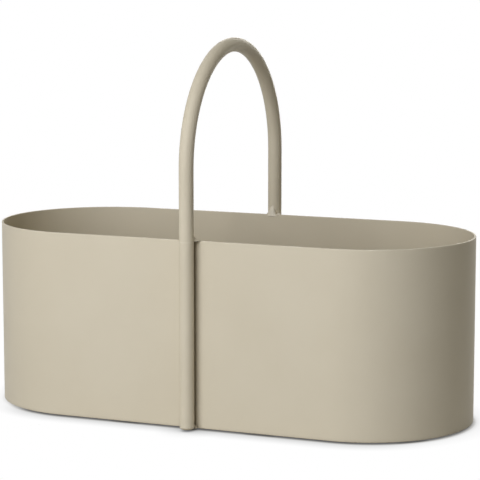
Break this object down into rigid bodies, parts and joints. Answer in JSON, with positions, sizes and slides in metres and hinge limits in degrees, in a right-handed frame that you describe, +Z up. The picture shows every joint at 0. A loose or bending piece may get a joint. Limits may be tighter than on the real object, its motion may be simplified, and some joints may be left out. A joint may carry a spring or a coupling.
{
  "type": "oblong carry box",
  "caption": "Open oblong box of painted sheet steel with half-round ends and a fixed arched tube handle across its middle, for carrying tools or small things by hand.",
  "frame": {"origin": "on the floor, under the middle of the box", "axes": "+X along the box, to the right seen from the front; +Y to the back; +Z up"},
  "size_m": [0.35, 0.1706, 0.2635],
  "materials": {
    "painted_steel": "satin beige powder coat with a fine grain",
    "pad_rubber": "matt dark grey"
  },
  "bodies": {
    "root": {"wall_shell": "painted_steel", "wall_seam_weld": "painted_steel", "base_plate": "painted_steel", "handle_tube": "painted_steel", "front_leg_plug": "painted_steel", "rear_leg_plug": "painted_steel", "front_rim_weld": "painted_steel", "rear_rim_weld": "painted_steel", "front_left_foot_weld": "painted_steel", "front_right_foot_weld": "painted_steel", "rear_left_foot_weld": "painted_steel", "rear_right_foot_weld": "painted_steel", "front_left_base_weld": "painted_steel", "front_right_base_weld": "painted_steel", "rear_left_base_weld": "painted_steel", "rear_right_base_weld": "painted_steel", "left_end_front_base_weld": "painted_steel", "left_end_rear_base_weld": "painted_steel", "right_end_front_base_weld": "painted_steel", "right_end_rear_base_weld": "painted_steel", "front_left_pad": "pad_rubber", "front_right_pad": "pad_rubber", "rear_left_pad": "pad_rubber", "rear_right_pad": "pad_rubber"}
  },
  "joints": []
}
